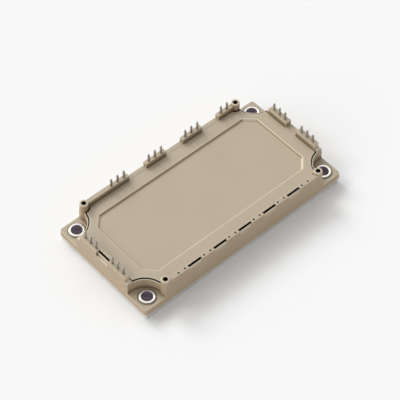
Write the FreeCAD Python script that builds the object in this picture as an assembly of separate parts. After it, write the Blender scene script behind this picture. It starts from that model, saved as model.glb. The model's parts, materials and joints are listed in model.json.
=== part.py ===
import FreeCAD, Part
import math
import os
from FreeCAD import Vector

# Power semiconductor module with solder pins, in millimetres.
# The origin is the middle of the base plate's underside. X runs along the long side,
# Y across it, and Z up. The far long side is at +Y and the near long side at -Y.

# Outline
module_length = 122.0
module_width = 62.0
corner_radius = 1.5
side_lean_inset = 0.6
base_plate_setback = 0.5

# Heights, each counted from the one below it
base_plate_thickness = 3.0
base_plate_edge = 0.25
adhesive_thickness = 0.15
adhesive_setback = 0.15
flange_height = 3.35
lid_height_over_flange = 6.5
rim_rise = 2.8
boss_rise = 1.2
pin_rise = 3.5

# Mounting screws and their bushes
screw_inset = 6.0
screw_hole_diameter = 5.5
bush_wall = 1.2
bush_stand = 0.7
bush_fit = 0.03
bush_glue_gap = 0.3
bush_chamfer = 0.25
bush_recess_width = 0.7
bush_recess_depth = 0.35

# Corner cut-outs that leave room for the screw heads, placed from the screws
cutout_radius = 10.3
cutout_shift_x = 4.0
cutout_shift_y = 3.2
cutout_lip = 0.35
cutout_lip_drop = 0.5
cutout_wall = 1.7

# Bosses for the screws that hold the circuit board
boss_inset_x = 13.75
boss_inset_y = 2.25
boss_diameter = 4.3
boss_bore_diameter = 2.35
boss_bore_depth = 8.5
boss_chamfer = 0.25
boss_inner_wall = 0.9

# Pins, on a grid whose lines are one pitch apart
pin_pitch = 3.81
pin_width = 1.0
pin_thickness = 0.8
pin_row_inset_x = 2.3
pin_row_inset_y = 1.85
pin_fit = 0.05
pin_tip_length = 0.9
pin_tip_share = 0.55
pin_bend = 0.5
pin_foot_setback = 0.5
pin_block_margin = 2.4
far_group_pin_counts = (3, 3, 3, 2)
far_group_pitch_count = 6
short_group_pin_count = 3
short_group_pitch_share = 2.5

# Empty places in the near and left rims, on the same grid
near_slot_pitch_count = 4
near_hole_pitch_share = 1.5
near_row_inset_y = 1.6
slot_length = 7.8
slot_width = 0.8
slot_depth = 7.0
slot_lip = 0.3
slot_lip_drop = 0.6
empty_hole_diameter = 1.0
empty_hole_depth = 6.0

# Walls, the seat of the lid and the shelf that carries the pins' feet
long_rim_inner_wall = 0.65
short_rim_inner_wall = 1.3
lid_seat_width = 1.5
shelf_depth = 3.5
shelf_height = 2.35

# Lid
lid_thickness = 2.2
lid_fit = 0.12
lid_corner_gap = 0.6
panel_inset_x = 11.1
panel_inset_y = 9.9
panel_corner_x = 5.0
panel_corner_y = 5.1
panel_depth = 1.1
panel_slope = 0.6
panel_shift_x = 0.25
panel_shift_y = 0.3

# Layers on the base plate
solder_thickness = 0.2
copper_thickness = 0.3
ceramic_thickness = 0.4
substrate_count = 3
substrate_gap = 1.4
substrate_side_gap = 2.0
copper_margin = 0.8
strip_width = 4.2
track_gap = 0.8

# Chips and temperature sensor
chip_thickness = 0.2
igbt_chip_side = 9.6
diode_chip_side = 6.4
chip_edge_gap = 2.5
chip_wire_inset = 2.0
sensor_length = 3.2
sensor_width = 1.6
sensor_height = 1.0

# Bond wires and gel
wire_diameter = 0.38
wire_rise = 2.2
wire_bend = 1.3
wire_pitch = 1.5
igbt_wire_count = 4
diode_wire_count = 3
wire_edge_inset = 0.7
gel_gap_under_lid = 1.0

# How far a cutting shape reaches past the surface that it opens
cut_overrun = 1.0

# Heights of the levels
base_top = base_plate_thickness
frame_bottom = base_top + adhesive_thickness
flange_top = frame_bottom + flange_height
shelf_top = frame_bottom + shelf_height
lid_top = flange_top + lid_height_over_flange
lid_seat = lid_top - lid_thickness
rim_top = lid_top + rim_rise
boss_top = rim_top + boss_rise
pin_top = boss_top + pin_rise
solder_top = base_top + solder_thickness
back_copper_top = solder_top + copper_thickness
ceramic_top = back_copper_top + ceramic_thickness
track_top = ceramic_top + copper_thickness
chip_top = track_top + chip_thickness
gel_top = lid_seat - gel_gap_under_lid
above_all = pin_top + cut_overrun

# Places in plan, all measured from the middle
half_length = module_length / 2
half_width = module_width / 2
screw_x = half_length - screw_inset
screw_y = half_width - screw_inset
bush_radius = screw_hole_diameter / 2 + bush_wall
cutout_x = screw_x + cutout_shift_x
cutout_y = screw_y + cutout_shift_y
boss_x = half_length - boss_inset_x
boss_y = half_width - boss_inset_y
boss_radius = boss_diameter / 2
row_x = half_length - pin_row_inset_x
row_y = half_width - pin_row_inset_y
near_row_y = half_width - near_row_inset_y
pocket_x = row_x - pin_thickness / 2 - short_rim_inner_wall
pocket_y = row_y - pin_thickness / 2 - long_rim_inner_wall
cavity_x = pocket_x - lid_seat_width
cavity_y = pocket_y - lid_seat_width
well_x = cavity_x - shelf_depth
well_y = cavity_y - shelf_depth
long_side_reach = boss_x - boss_radius

four_corners = ((-1, -1), (1, -1), (1, 1), (-1, 1))


def block(x0, x1, y0, y1, z0, z1):
    """A box given by its lowest and highest corners."""
    return Part.makeBox(x1 - x0, y1 - y0, z1 - z0, Vector(x0, y0, z0))


def middle_block(x, y, length, width, z0, z1):
    """A box given by the middle of its plan and its size."""
    return block(x - length / 2, x + length / 2, y - width / 2, y + width / 2, z0, z1)


def round_bar(x, y, radius, z0, z1):
    """An upright round bar."""
    return Part.makeCylinder(radius, z1 - z0, Vector(x, y, z0))


def join(shapes):
    """All the shapes as one, with the seams between flush faces taken out."""
    return shapes[0].multiFuse(shapes[1:]).removeSplitter()


def take_away(shape, tools):
    """The shape with every tool cut out of it."""
    return shape.cut(Part.makeCompound(list(tools)))


def polygon(points):
    """A closed outline through the points."""
    return Part.makePolygon(points + points[:1])


def rounded_outline(length, width, radius, z):
    """A closed outline of a rectangle with round corners."""
    hx = length / 2
    hy = width / 2
    turn = radius * (1 - math.sqrt(0.5))
    arcs = []
    for sx, sy in ((1, 1), (-1, 1), (-1, -1), (1, -1)):
        along_x = Vector(sx * (hx - radius), sy * hy, z)
        along_y = Vector(sx * hx, sy * (hy - radius), z)
        middle = Vector(sx * (hx - turn), sy * (hy - turn), z)
        arcs.append((along_y, middle, along_x) if sx == sy else (along_x, middle, along_y))
    edges = []
    for arc, following in zip(arcs, arcs[1:] + arcs[:1]):
        edges.append(Part.Arc(*arc).toShape())
        edges.append(Part.LineSegment(arc[2], following[0]).toShape())
    return Part.Wire(edges)


def slab(wire, thickness):
    """A flat piece with the wire as its lower outline."""
    return Part.Face(wire).extrude(Vector(0, 0, thickness))


def corner_bars(radius, z0, z1):
    """Four round bars on the centres of the corner cut-outs."""
    return [round_bar(sx * cutout_x, sy * cutout_y, radius, z0, z1) for sx, sy in four_corners]


def boss_bars(radius, z0, z1):
    """Four round bars on the centres of the board screw bosses."""
    return [round_bar(sx * boss_x, sy * boss_y, radius, z0, z1) for sx, sy in four_corners]


def screw_bars(radius, z0, z1):
    """Four round bars on the centres of the mounting screws."""
    return [round_bar(sx * screw_x, sy * screw_y, radius, z0, z1) for sx, sy in four_corners]


def level_edges(shape, z):
    """The edges that lie at one height."""
    return [e for e in shape.Edges if abs(e.BoundBox.ZMin - z) < 1e-4 and abs(e.BoundBox.ZMax - z) < 1e-4]


def grid_line(place):
    """Distance from the middle of a place counted in pitches."""
    return place * pin_pitch


def pin_group(first, count):
    """The places of one group's pins, from its first grid line on."""
    return [grid_line(first + k) for k in range(count)]


def far_groups():
    """The far side's pins by group. The last pin takes the last grid line that clears the boss."""
    counts = far_group_pin_counts
    last = int((long_side_reach - pin_width / 2 - pin_fit) / pin_pitch)
    first = last + 1 - counts[-1] - (len(counts) - 1) * far_group_pitch_count
    return [pin_group(first + k * far_group_pitch_count, count) for k, count in enumerate(counts)]


def short_groups():
    """A short side's pins by group, one group each side of the middle."""
    count = short_group_pin_count
    return [pin_group(side * short_group_pitch_share - (count - 1) / 2, count) for side in (-1, 1)]


def near_places():
    """The near side's grid places of the slots, as many as could touch the rim."""
    steps = int(long_side_reach / grid_line(near_slot_pitch_count)) + 1
    return [k * near_slot_pitch_count for k in range(-steps, steps + 1)]


def all_places(groups):
    """Every pin of a row, from one end to the other."""
    return [p for g in groups for p in g]


def group_span(places):
    """The two ends of the raised block that holds a group of pins."""
    return min(places) - pin_block_margin, max(places) + pin_block_margin


short_block_end = group_span(all_places(short_groups()))[1]


def well_solid(z0, z1):
    """The space round the substrates, inside the shelf."""
    return take_away(
        block(-well_x, well_x, -well_y, well_y, z0, z1),
        corner_bars(cutout_radius + cutout_wall, z0, z1),
    )


def cavity_solid(z0, z1):
    """The wider space above the shelf, up to the seat of the lid."""
    keep = corner_bars(cutout_radius + cutout_wall, z0, z1)
    keep += boss_bars(boss_radius + boss_inner_wall, z0, z1)
    return take_away(block(-cavity_x, cavity_x, -cavity_y, cavity_y, z0, z1), keep)


def pocket_solid(z0, z1):
    """The space that the lid drops into, with a groove outside it near the corners."""
    groove = lid_corner_gap - lid_fit
    space = [block(-pocket_x, pocket_x, -pocket_y, pocket_y, z0, z1)]
    for side in (-1, 1):
        y0, y1 = sorted((side * short_block_end, side * pocket_y))
        space.append(block(-pocket_x - groove, pocket_x + groove, y0, y1, z0, z1))
    keep = corner_bars(cutout_radius + cutout_lip, z0, z1)
    keep += boss_bars(boss_radius, z0, z1)
    return take_away(join(space), keep)


def make_base_plate():
    """Stamped metal plate with four screw holes and softened edges."""
    length = module_length - 2 * base_plate_setback
    width = module_width - 2 * base_plate_setback
    outline = rounded_outline(length, width, corner_radius - base_plate_setback, 0)
    plate = slab(outline, base_plate_thickness)
    plate = plate.makeChamfer(base_plate_edge, level_edges(plate, 0) + level_edges(plate, base_top))
    return take_away(plate, screw_bars(screw_hole_diameter / 2, -cut_overrun, above_all))


def make_adhesive():
    """Thin layer that seals the frame to the base plate."""
    inset = base_plate_setback + adhesive_setback
    length = module_length - 2 * inset
    width = module_width - 2 * inset
    outline = rounded_outline(length, width, corner_radius - inset, base_top)
    tools = [well_solid(base_top, frame_bottom)]
    tools += screw_bars(bush_radius + bush_glue_gap, base_top, frame_bottom)
    return take_away(slab(outline, adhesive_thickness), tools)


def raised_zones(z0, z1):
    """Everything in plan that stands above the lid: the two rims and the pin blocks."""
    spans = [group_span(g) for g in far_groups()]
    spans[0] = (-boss_x, spans[0][1])
    spans[-1] = (spans[-1][0], boss_x)
    zones = [block(a, b, pocket_y, half_width, z0, z1) for a, b in spans]
    zones.append(block(-boss_x, boss_x, -half_width, -pocket_y, z0, z1))
    zones.append(block(-half_length, -pocket_x, -short_block_end, short_block_end, z0, z1))
    for group in short_groups():
        a, b = group_span(group)
        zones.append(block(pocket_x, half_length, a, b, z0, z1))
    return zones


def open_slot(row, outside):
    """An empty slot at x = 0 in a rim on the -Y side, with the notch outside it and the low lip between."""
    x0 = -slot_length / 2
    x1 = slot_length / 2
    lip_inner = row + slot_width / 2
    lip_outer = lip_inner + slot_lip
    end = outside + cut_overrun
    return join([
        middle_block(0, -row, slot_length, slot_width, rim_top - slot_depth, above_all),
        block(x0, x1, -end, -lip_inner, rim_top - slot_lip_drop, above_all),
        block(x0, x1, -end, -lip_outer, lid_top, above_all),
    ])


def near_slots():
    """The empty slots of the near rim."""
    slot = open_slot(near_row_y, half_width)
    places = [grid_line(place) for place in near_places()]
    return [slot.translated(Vector(x, 0, 0)) for x in places if abs(x) + slot_length / 2 < long_side_reach]


def left_slot():
    """The empty slot of the left rim."""
    return open_slot(row_x, half_length).rotated(Vector(0, 0, 0), Vector(0, 0, 1), -90)


def empty_holes():
    """Small blind holes in the near rim, either side of each slot's place."""
    radius = empty_hole_diameter / 2
    holes = []
    for place in near_places():
        for side in (-1, 1):
            x = grid_line(place + side * near_hole_pitch_share)
            if abs(x) < long_side_reach - radius:
                holes.append(round_bar(x, -near_row_y, radius, rim_top - empty_hole_depth, above_all))
    return holes


def pin_channel(row, cavity_end):
    """The space that a pin at x = 0 takes in the wall, with its row at y = row."""
    width = pin_width + 2 * pin_fit
    depth = pin_thickness + 2 * pin_fit
    foot_top = shelf_top + pin_thickness + pin_fit
    leg = middle_block(0, row, width, depth, shelf_top, above_all)
    foot = block(-width / 2, width / 2, cavity_end - cut_overrun, row + depth / 2, shelf_top, foot_top)
    return leg.fuse(foot)


def upright_pin(row, foot_end):
    """A bent pin at x = 0 that stands at y = row, with its foot reaching in to y = foot_end."""
    back = row + pin_thickness / 2
    front = row - pin_thickness / 2
    shoulder = pin_top - pin_tip_length
    foot_top = shelf_top + pin_thickness
    profile = [
        (foot_end, shelf_top), (back - pin_bend, shelf_top), (back, shelf_top + pin_bend),
        (back, shoulder), (front, shoulder), (front, foot_top), (foot_end, foot_top),
    ]
    face = Part.Face(polygon([Vector(-pin_width / 2, y, z) for y, z in profile]))
    return join([face.extrude(Vector(pin_width, 0, 0)), pin_point(row, shoulder)])


def pin_point(row, shoulder):
    """The tapered end of a pin."""
    rings = []
    for share, z in ((1.0, shoulder), (pin_tip_share, pin_top)):
        dx = pin_width / 2 * share
        dy = pin_thickness / 2 * share
        corners = [(-dx, -dy), (dx, -dy), (dx, dy), (-dx, dy)]
        rings.append(polygon([Vector(x, row + y, z) for x, y in corners]))
    return Part.makeLoft(rings, True, True)


def far_copies(model):
    """The model copied to every pin place of the far long side."""
    return [model.translated(Vector(place, 0, 0)) for place in all_places(far_groups())]


def side_copies(model, side):
    """The model turned to a short side, -1 or 1, and copied to every pin place there."""
    turned = model.rotated(Vector(0, 0, 0), Vector(0, 0, 1), -90 * side)
    return [turned.translated(Vector(0, place, 0)) for place in all_places(short_groups())]


def frame_block():
    """The frame's outside: leaning walls, rims, corner cut-outs and bosses, still solid."""
    low = rounded_outline(module_length, module_width, corner_radius, frame_bottom)
    top_length = module_length - 2 * side_lean_inset
    top_width = module_width - 2 * side_lean_inset
    high = rounded_outline(top_length, top_width, corner_radius, rim_top)
    body = Part.makeLoft([low, high], True, True)
    above_lid = block(-half_length, half_length, -half_width, half_width, lid_top, above_all)
    body = body.cut(take_away(above_lid, raised_zones(lid_top, above_all)))
    body = take_away(body, corner_bars(cutout_radius, flange_top, above_all))
    lip_top = lid_top - cutout_lip_drop
    over_lip = Part.makeCompound(corner_bars(cutout_radius + cutout_lip, lip_top, above_all))
    body = body.cut(take_away(over_lip, raised_zones(lip_top, above_all)))
    return join([body] + boss_bars(boss_radius, frame_bottom, boss_top))


def make_frame():
    """Moulded frame, hollowed and with the places for pins, bushes and screws cut into it."""
    body = take_away(frame_block(), [
        well_solid(frame_bottom - cut_overrun, shelf_top),
        cavity_solid(shelf_top, lid_seat),
        pocket_solid(lid_seat, above_all),
    ])
    boss_rims = [e for e in level_edges(body, boss_top) if e.BoundBox.XLength > boss_radius]
    body = body.makeChamfer(boss_chamfer, boss_rims)
    tools = near_slots() + [left_slot()] + empty_holes()
    tools += boss_bars(boss_bore_diameter / 2, boss_top - boss_bore_depth, above_all)
    tools += far_copies(pin_channel(row_y, cavity_y))
    for side in (-1, 1):
        tools += side_copies(pin_channel(row_x, cavity_x), side)
    tools += screw_bars(bush_radius + bush_fit, frame_bottom - cut_overrun, above_all)
    recess_floor = flange_top - bush_recess_depth
    tools += screw_bars(bush_radius + bush_recess_width, recess_floor, above_all)
    return take_away(body, tools)


def make_bushes():
    """Metal sleeves that take the mounting screws' pull."""
    top = flange_top + bush_stand
    bores = screw_bars(screw_hole_diameter / 2, -cut_overrun, above_all)
    bushes = []
    for blank, bore in zip(screw_bars(bush_radius, base_top, top), bores):
        sleeve = blank.cut(bore)
        bushes.append(sleeve.makeChamfer(bush_chamfer, level_edges(sleeve, top)))
    return bushes


def make_lid():
    """Flat cover with an eight-sided sunken panel."""
    x = pocket_x - lid_fit
    y = pocket_y - lid_fit
    tools = corner_bars(cutout_radius + cutout_lip + lid_corner_gap, lid_seat, lid_top)
    tools += boss_bars(boss_radius + lid_corner_gap, lid_seat, lid_top)
    tools.append(panel_recess())
    return take_away(block(-x, x, -y, y, lid_seat, lid_top), tools)


def panel_recess():
    """The space over the sunken panel, wider at the top by the slope of its sides."""
    rim = panel_outline(lid_top, 0)
    floor = panel_outline(lid_top - panel_depth, panel_slope)
    return join([Part.makeLoft([floor, rim], True, True), slab(rim, cut_overrun)])


def panel_outline(z, inset):
    """Eight-sided outline of the sunken panel, a little off the middle and drawn in by the inset."""
    hx = half_length - panel_inset_x - inset
    hy = half_width - panel_inset_y - inset
    cx = hx - panel_corner_x
    cy = hy - panel_corner_y
    right = [(cx, -hy), (hx, -cy), (hx, cy), (cx, hy)]
    left = [(-x, y) for x, y in reversed(right)]
    return polygon([Vector(x + panel_shift_x, y + panel_shift_y, z) for x, y in right + left])


def substrate_size():
    """Length and width of one substrate, clear of the well's walls and its round corners."""
    end = well_x - substrate_side_gap
    length = (2 * end - (substrate_count - 1) * substrate_gap) / substrate_count
    reach = cutout_radius + cutout_wall + substrate_side_gap
    across = cutout_x - end
    rounding = cutout_y - math.sqrt(max(reach ** 2 - across ** 2, 0))
    return length, 2 * min(well_y - substrate_side_gap, rounding)


substrate_length, substrate_width = substrate_size()
substrate_pitch = substrate_length + substrate_gap
substrate_places = [(k - (substrate_count - 1) / 2) * substrate_pitch for k in range(substrate_count)]
track_length = substrate_length - 2 * copper_margin
track_reach = substrate_width / 2 - copper_margin
inner_track_edge = strip_width / 2 + track_gap
chip_y = (track_reach + inner_track_edge) / 2
igbt_shift = track_length / 2 - chip_edge_gap - igbt_chip_side / 2
diode_shift = track_length / 2 - chip_edge_gap - diode_chip_side / 2


def make_substrate(x):
    """The layers of one substrate from the base plate up, by name."""
    copper = (x, 0, track_length, 2 * track_reach)
    half = track_length / 2
    areas = [middle_block(x, 0, track_length, strip_width, ceramic_top, track_top)]
    for y0, y1 in ((inner_track_edge, track_reach), (-track_reach, -inner_track_edge)):
        areas.append(block(x - half, x + half, y0, y1, ceramic_top, track_top))
    return {
        "substrate_solder": middle_block(*copper, base_top, solder_top),
        "copper_back": middle_block(*copper, solder_top, back_copper_top),
        "ceramic": middle_block(x, 0, substrate_length, substrate_width, back_copper_top, ceramic_top),
        "copper_tracks": Part.makeCompound(areas),
    }


def igbt_places():
    """Centres of the transistor chips."""
    return [(x - igbt_shift, side * chip_y) for x in substrate_places for side in (1, -1)]


def diode_places():
    """Centres of the diode chips."""
    return [(x + diode_shift, side * chip_y) for x in substrate_places for side in (1, -1)]


def make_chip(place, side):
    """Square semiconductor chip on its copper area."""
    return middle_block(place[0], place[1], side, side, track_top, chip_top)


def make_sensor():
    """Temperature sensor, soldered to the end of the last substrate's strip."""
    x = substrate_places[-1] + track_length / 2 - sensor_length
    return middle_block(x, 0, sensor_length, sensor_width, track_top, track_top + sensor_height)


def bond_wire(high, low):
    """A wire that leaves one landing square, runs level, and comes down square on a lower one."""
    flat = Vector(low.x - high.x, low.y - high.y, 0)
    bend = min(wire_bend, flat.Length / 3)
    along = flat.normalize()
    up = Vector(0, 0, 1)
    cut_back = bend * (1 - math.sqrt(0.5))
    rise_end = high + up * (wire_rise - bend)
    rise_corner = high + up * wire_rise
    fall_corner = Vector(low.x, low.y, rise_corner.z)
    fall_start = fall_corner - up * bend
    rise_middle = rise_corner + (along - up) * cut_back
    fall_middle = fall_corner - (along + up) * cut_back
    level_start = rise_corner + along * bend
    level_end = fall_corner - along * bend
    path = Part.Wire([
        Part.LineSegment(high, rise_end).toShape(),
        Part.Arc(rise_end, rise_middle, level_start).toShape(),
        Part.LineSegment(level_start, level_end).toShape(),
        Part.Arc(level_end, fall_middle, fall_start).toShape(),
        Part.LineSegment(fall_start, low).toShape(),
    ])
    section = Part.Wire(Part.Circle(high, up, wire_diameter / 2).toShape())
    return path.makePipeShell([section], True, False)


def chip_wires(places, side, count):
    """Wires from each chip to the strip in the middle of its substrate."""
    wires = []
    landing = strip_width / 2 - wire_edge_inset
    for x, y in places:
        way = math.copysign(1, y)
        start_y = y - way * (side / 2 - chip_wire_inset)
        for k in range(count):
            wire_x = x + (k - (count - 1) / 2) * wire_pitch
            start = Vector(wire_x, start_y, chip_top)
            wires.append(bond_wire(start, Vector(wire_x, way * landing, track_top)))
    return wires


def nearest_copper(x):
    """The place nearest to x that lies on a substrate's copper."""
    reach = track_length / 2 - wire_edge_inset
    places = [min(max(x, centre - reach), centre + reach) for centre in substrate_places]
    return min(places, key=lambda place: abs(place - x))


def pin_wires():
    """A wire from each pin's foot to the edge of the copper beside it."""
    top = shelf_top + pin_thickness
    foot = pin_foot_setback + wire_edge_inset
    wires = []
    for place in all_places(far_groups()):
        end = Vector(nearest_copper(place), track_reach - wire_edge_inset, track_top)
        wires.append(bond_wire(Vector(place, well_y + foot, top), end))
    reach = substrate_places[-1] + track_length / 2 - wire_edge_inset
    for side in (-1, 1):
        for place in all_places(short_groups()):
            start = Vector(side * (well_x + foot), place, top)
            wires.append(bond_wire(start, Vector(side * reach, place, track_top)))
    return wires


def make_bond_wires():
    """All the wires as one group."""
    wires = chip_wires(igbt_places(), igbt_chip_side, igbt_wire_count)
    wires += chip_wires(diode_places(), diode_chip_side, diode_wire_count)
    return Part.makeCompound(wires + pin_wires())


def make_gel(inside):
    """Clear gel poured over the circuit, with everything it flows round cut out of it."""
    mass = join([well_solid(base_top, shelf_top), cavity_solid(shelf_top, gel_top)])
    return take_away(mass, inside)


def numbered(name, shapes):
    """The shapes by name and number, counted from one."""
    return {"%s_%d" % (name, k): shape for k, shape in enumerate(shapes, 1)}


def build():
    """All the pieces by name."""
    inside = numbered("pin_far", far_copies(upright_pin(row_y, well_y + pin_foot_setback)))
    side_pin = upright_pin(row_x, well_x + pin_foot_setback)
    inside.update(numbered("pin_left", side_copies(side_pin, -1)))
    inside.update(numbered("pin_right", side_copies(side_pin, 1)))
    for k, x in enumerate(substrate_places, 1):
        inside.update({"%s_%d" % (name, k): layer for name, layer in make_substrate(x).items()})
    inside.update(numbered("igbt_chip", [make_chip(p, igbt_chip_side) for p in igbt_places()]))
    inside.update(numbered("diode_chip", [make_chip(p, diode_chip_side) for p in diode_places()]))
    inside["temperature_sensor"] = make_sensor()
    inside["bond_wires"] = make_bond_wires()
    pieces = {
        "base_plate": make_base_plate(),
        "frame_adhesive": make_adhesive(),
        "frame": make_frame(),
        "lid": make_lid(),
        "silicone_gel": make_gel(inside.values()),
    }
    pieces.update(numbered("screw_bush", make_bushes()))
    pieces.update(inside)
    return pieces


if __name__ == "__main__":
    os.makedirs("parts", exist_ok=True)
    for name, shape in build().items():
        shape.exportStep("parts/%s.step" % name)
        box = shape.BoundBox
        print("%-20s solids %2d  volume %9.3f  z %.2f to %.2f  valid %s" % (
            name, len(shape.Solids), shape.Volume, box.ZMin, box.ZMax, shape.isValid()))
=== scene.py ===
import json
import math

import bmesh
import bpy
from bpy.props import FloatProperty, FloatVectorProperty, IntProperty, PointerProperty
from mathutils import Matrix, Vector
from mathutils.bvhtree import BVHTree


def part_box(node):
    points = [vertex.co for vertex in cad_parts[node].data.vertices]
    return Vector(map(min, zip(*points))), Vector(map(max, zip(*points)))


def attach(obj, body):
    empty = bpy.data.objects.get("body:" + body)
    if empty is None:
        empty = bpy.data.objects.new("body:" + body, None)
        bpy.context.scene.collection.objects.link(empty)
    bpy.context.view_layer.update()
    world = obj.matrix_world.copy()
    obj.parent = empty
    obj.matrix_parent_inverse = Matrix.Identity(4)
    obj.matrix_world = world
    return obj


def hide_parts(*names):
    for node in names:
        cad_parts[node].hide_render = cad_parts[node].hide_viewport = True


bl_info = {
    "name": "Solder-Pin Power Module",
    "version": (1, 0, 0),
    "blender": (4, 5, 0),
    "location": "3D View > Sidebar > Power Module",
    "description": "Finishes a flat solder-pin power module round its fixed frame",
    "category": "Object",
}

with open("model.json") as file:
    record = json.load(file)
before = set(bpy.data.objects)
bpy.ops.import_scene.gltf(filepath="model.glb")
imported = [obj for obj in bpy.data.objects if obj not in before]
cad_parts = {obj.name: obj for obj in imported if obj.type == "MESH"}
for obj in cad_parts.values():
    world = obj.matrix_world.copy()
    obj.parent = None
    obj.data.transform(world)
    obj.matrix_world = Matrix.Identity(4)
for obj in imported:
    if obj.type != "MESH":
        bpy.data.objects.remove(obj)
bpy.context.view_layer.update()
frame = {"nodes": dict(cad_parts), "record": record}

MM = 0.001
BODY = "root"
WELD_DISTANCE = 0.002 * MM
FLAT_ANGLE = math.radians(0.3)
SHARP_ANGLE = math.radians(32)
CREASE_ANGLE = math.radians(50)
LEVEL_SLOPE = math.cos(math.radians(30))
WEAR_AND_HIGHLIGHT = "rubbed_edge"
LEVEL = "level_face"
GAP_SHADE = "gap_wall"
RING_PLACE = "place_on_ring"

screw_hole_radius = frame["record"]["mounts"][0]["dims"]["hole_r_mm"] * MM


def numbered_nodes(name):
    """The frame's nodes called name_1, name_2 and so on, in order."""
    found = [n for n in frame["nodes"] if n.startswith(name + "_") and n[len(name) + 1:].isdigit()]
    return sorted(found, key=lambda n: int(n[len(name) + 1:]))


def linear(hex_colour):
    """An sRGB hex colour as linear red, green and blue."""
    channels = [int(hex_colour[k:k + 2], 16) / 255 for k in (1, 3, 5)]
    return tuple(c / 12.92 if c <= 0.04045 else ((c + 0.055) / 1.055) ** 2.4 for c in channels)


def colour_setting(name, description, hex_colour):
    """A colour that a user can change."""
    return FloatVectorProperty(
        name=name, description=description, subtype="COLOR", size=3, min=0, max=1, default=linear(hex_colour))


def length_setting(name, description, millimetres):
    """A length that a user can change, given in millimetres."""
    return FloatProperty(
        name=name, description=description, unit="LENGTH", min=0, precision=5, default=millimetres * MM)


def offset_setting(name, description, millimetres):
    """A distance to either side that a user can change, given in millimetres."""
    return FloatProperty(
        name=name, description=description, unit="LENGTH", precision=5, default=millimetres * MM)


def angle_setting(name, description, degrees):
    """An angle that a user can change, given in degrees."""
    return FloatProperty(name=name, description=description, subtype="ANGLE", default=math.radians(degrees))


def count_setting(name, description, count, least):
    """A whole number that a user can change."""
    return IntProperty(name=name, description=description, min=least, default=count)


def share_setting(name, description, share):
    """A share from 0 to 1 that a user can change."""
    return FloatProperty(name=name, description=description, subtype="FACTOR", min=0, max=1, default=share)


def strength_setting(name, description, strength):
    """A light's strength that a user can change."""
    return FloatProperty(name=name, description=description, min=0, default=strength)


class MouldingSettings(bpy.types.PropertyGroup):
    """Sizes and colours of the two moulded parts."""

    frame_edge_radius: length_setting("Frame Edge Radius", "Rounding of the frame's edges", 0.13)
    lid_edge_radius: length_setting("Lid Edge Radius", "Rounding of the lid's edges", 0.25)
    rounding_steps: count_setting("Rounding Steps", "Facets across a rounded edge", 2, 1)
    # Painted sheen and shade: level faces get a greyer, paler tan for the sheen of the light above, and upright
    # faces a warmer tan for the shade they stand in.
    wall: colour_setting("Wall", "Tan of the upright faces, smooth from the tool's draft", "#B7A183")
    level: colour_setting("Level", "Greyer tan of the level faces, pitted deeper by the tool", "#B7A992")
    shade: share_setting("Flow Shade", "Brightness where the melt flowed last", 0.96)
    fibre: colour_setting("Fibre Fleck", "Pale fleck of a glass fibre at the surface", "#C8B89C")
    # Partly edge wear and partly painted highlight: convex rounded edges and small proud faces open to the sky
    # take this paler tan.
    rubbed: colour_setting(
        "Rubbed Edge", "Paler tan of an edge or small face that hands and trays have rubbed", "#EADFC9")
    wear_and_highlight_share: share_setting("Rubbed Share", "How far a small proud face is rubbed", 0.9)
    small_face: FloatProperty(
        name="Small Face", description="Area below which a proud face is rubbed", unit="AREA", precision=6,
        default=20 * MM * MM)
    # Painted shade: the walls inside narrow slots, holes and the lid's gap are set to this near black.
    gap: colour_setting("Gap", "Near black of the walls inside slots, holes and the lid's gap", "#1A0F06")
    gap_width: length_setting("Gap Width", "The widest slot, hole or gap with dark walls", 2.5)
    # Painted shade: inner corners are darkened to this brown by how little open sky they see.
    corner: colour_setting("Corner", "Brown that gathers in inner corners", "#4A2F12")
    corner_shade_reach: length_setting("Corner Reach", "How far the brown reaches out of a corner", 2.5)


class MetalSettings(bpy.types.PropertyGroup):
    """Sizes and colours of the metal parts."""

    bush_edge_radius: length_setting("Bush Edge Radius", "Rounding of the screw bushes' rims", 0.22)
    bush_facets: count_setting("Bush Facets", "Facets round one bush", 96, 12)
    pin_edge_radius: length_setting("Pin Edge Radius", "Rounding of the stamped pins' edges", 0.08)
    pin_edge_steps: count_setting("Pin Edge Steps", "Facets across a pin's rounded edge", 2, 1)
    plate: colour_setting("Plate", "Warm white of the base plate's nickel", "#F0EDE7")
    plate_stain: colour_setting("Plate Stain", "Grey of faint stains on the base plate", "#D8D4CC")
    nickel: colour_setting("Nickel", "Warm white of dull nickel plating", "#CFCBC2")
    bright_nickel: colour_setting("Bright Nickel", "White of bright nickel plating", "#E4E2DE")
    tin: colour_setting("Tin", "Grey white of tin plating", "#D6D3CE")
    tin_dull: colour_setting("Dull Tin", "Grey of tin plating that has gone dull", "#85827E")
    # The code gives the walls inside the screw holes this violet grey.
    bore: colour_setting("Bore", "Violet grey inside the screw holes, where the plating is thin", "#C9BFCA")
    copper: colour_setting("Copper", "Red of bare etched copper", "#C98463")
    solder: colour_setting("Solder", "Grey of reflowed solder", "#A8A9AB")
    wire: colour_setting("Wire", "Grey white of drawn aluminium", "#D3D5D7")


class InnerSettings(bpy.types.PropertyGroup):
    """Colours of the parts under the lid."""

    ceramic: colour_setting("Ceramic", "White of fired alumina", "#ECEBE6")
    silicon: colour_setting("Silicon", "Blue grey of a sawn chip edge", "#55585F")
    chip_metal: colour_setting("Chip Metal", "Grey of a chip's metallised top", "#B9BBC0")
    sensor: colour_setting("Sensor", "Near black of the sensor's fired body", "#3B3838")
    gel: colour_setting("Gel", "Clear soft silicone, a trace blue", "#EEF3F4")
    adhesive: colour_setting("Adhesive", "Grey of cured silicone adhesive", "#8C8A87")


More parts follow.
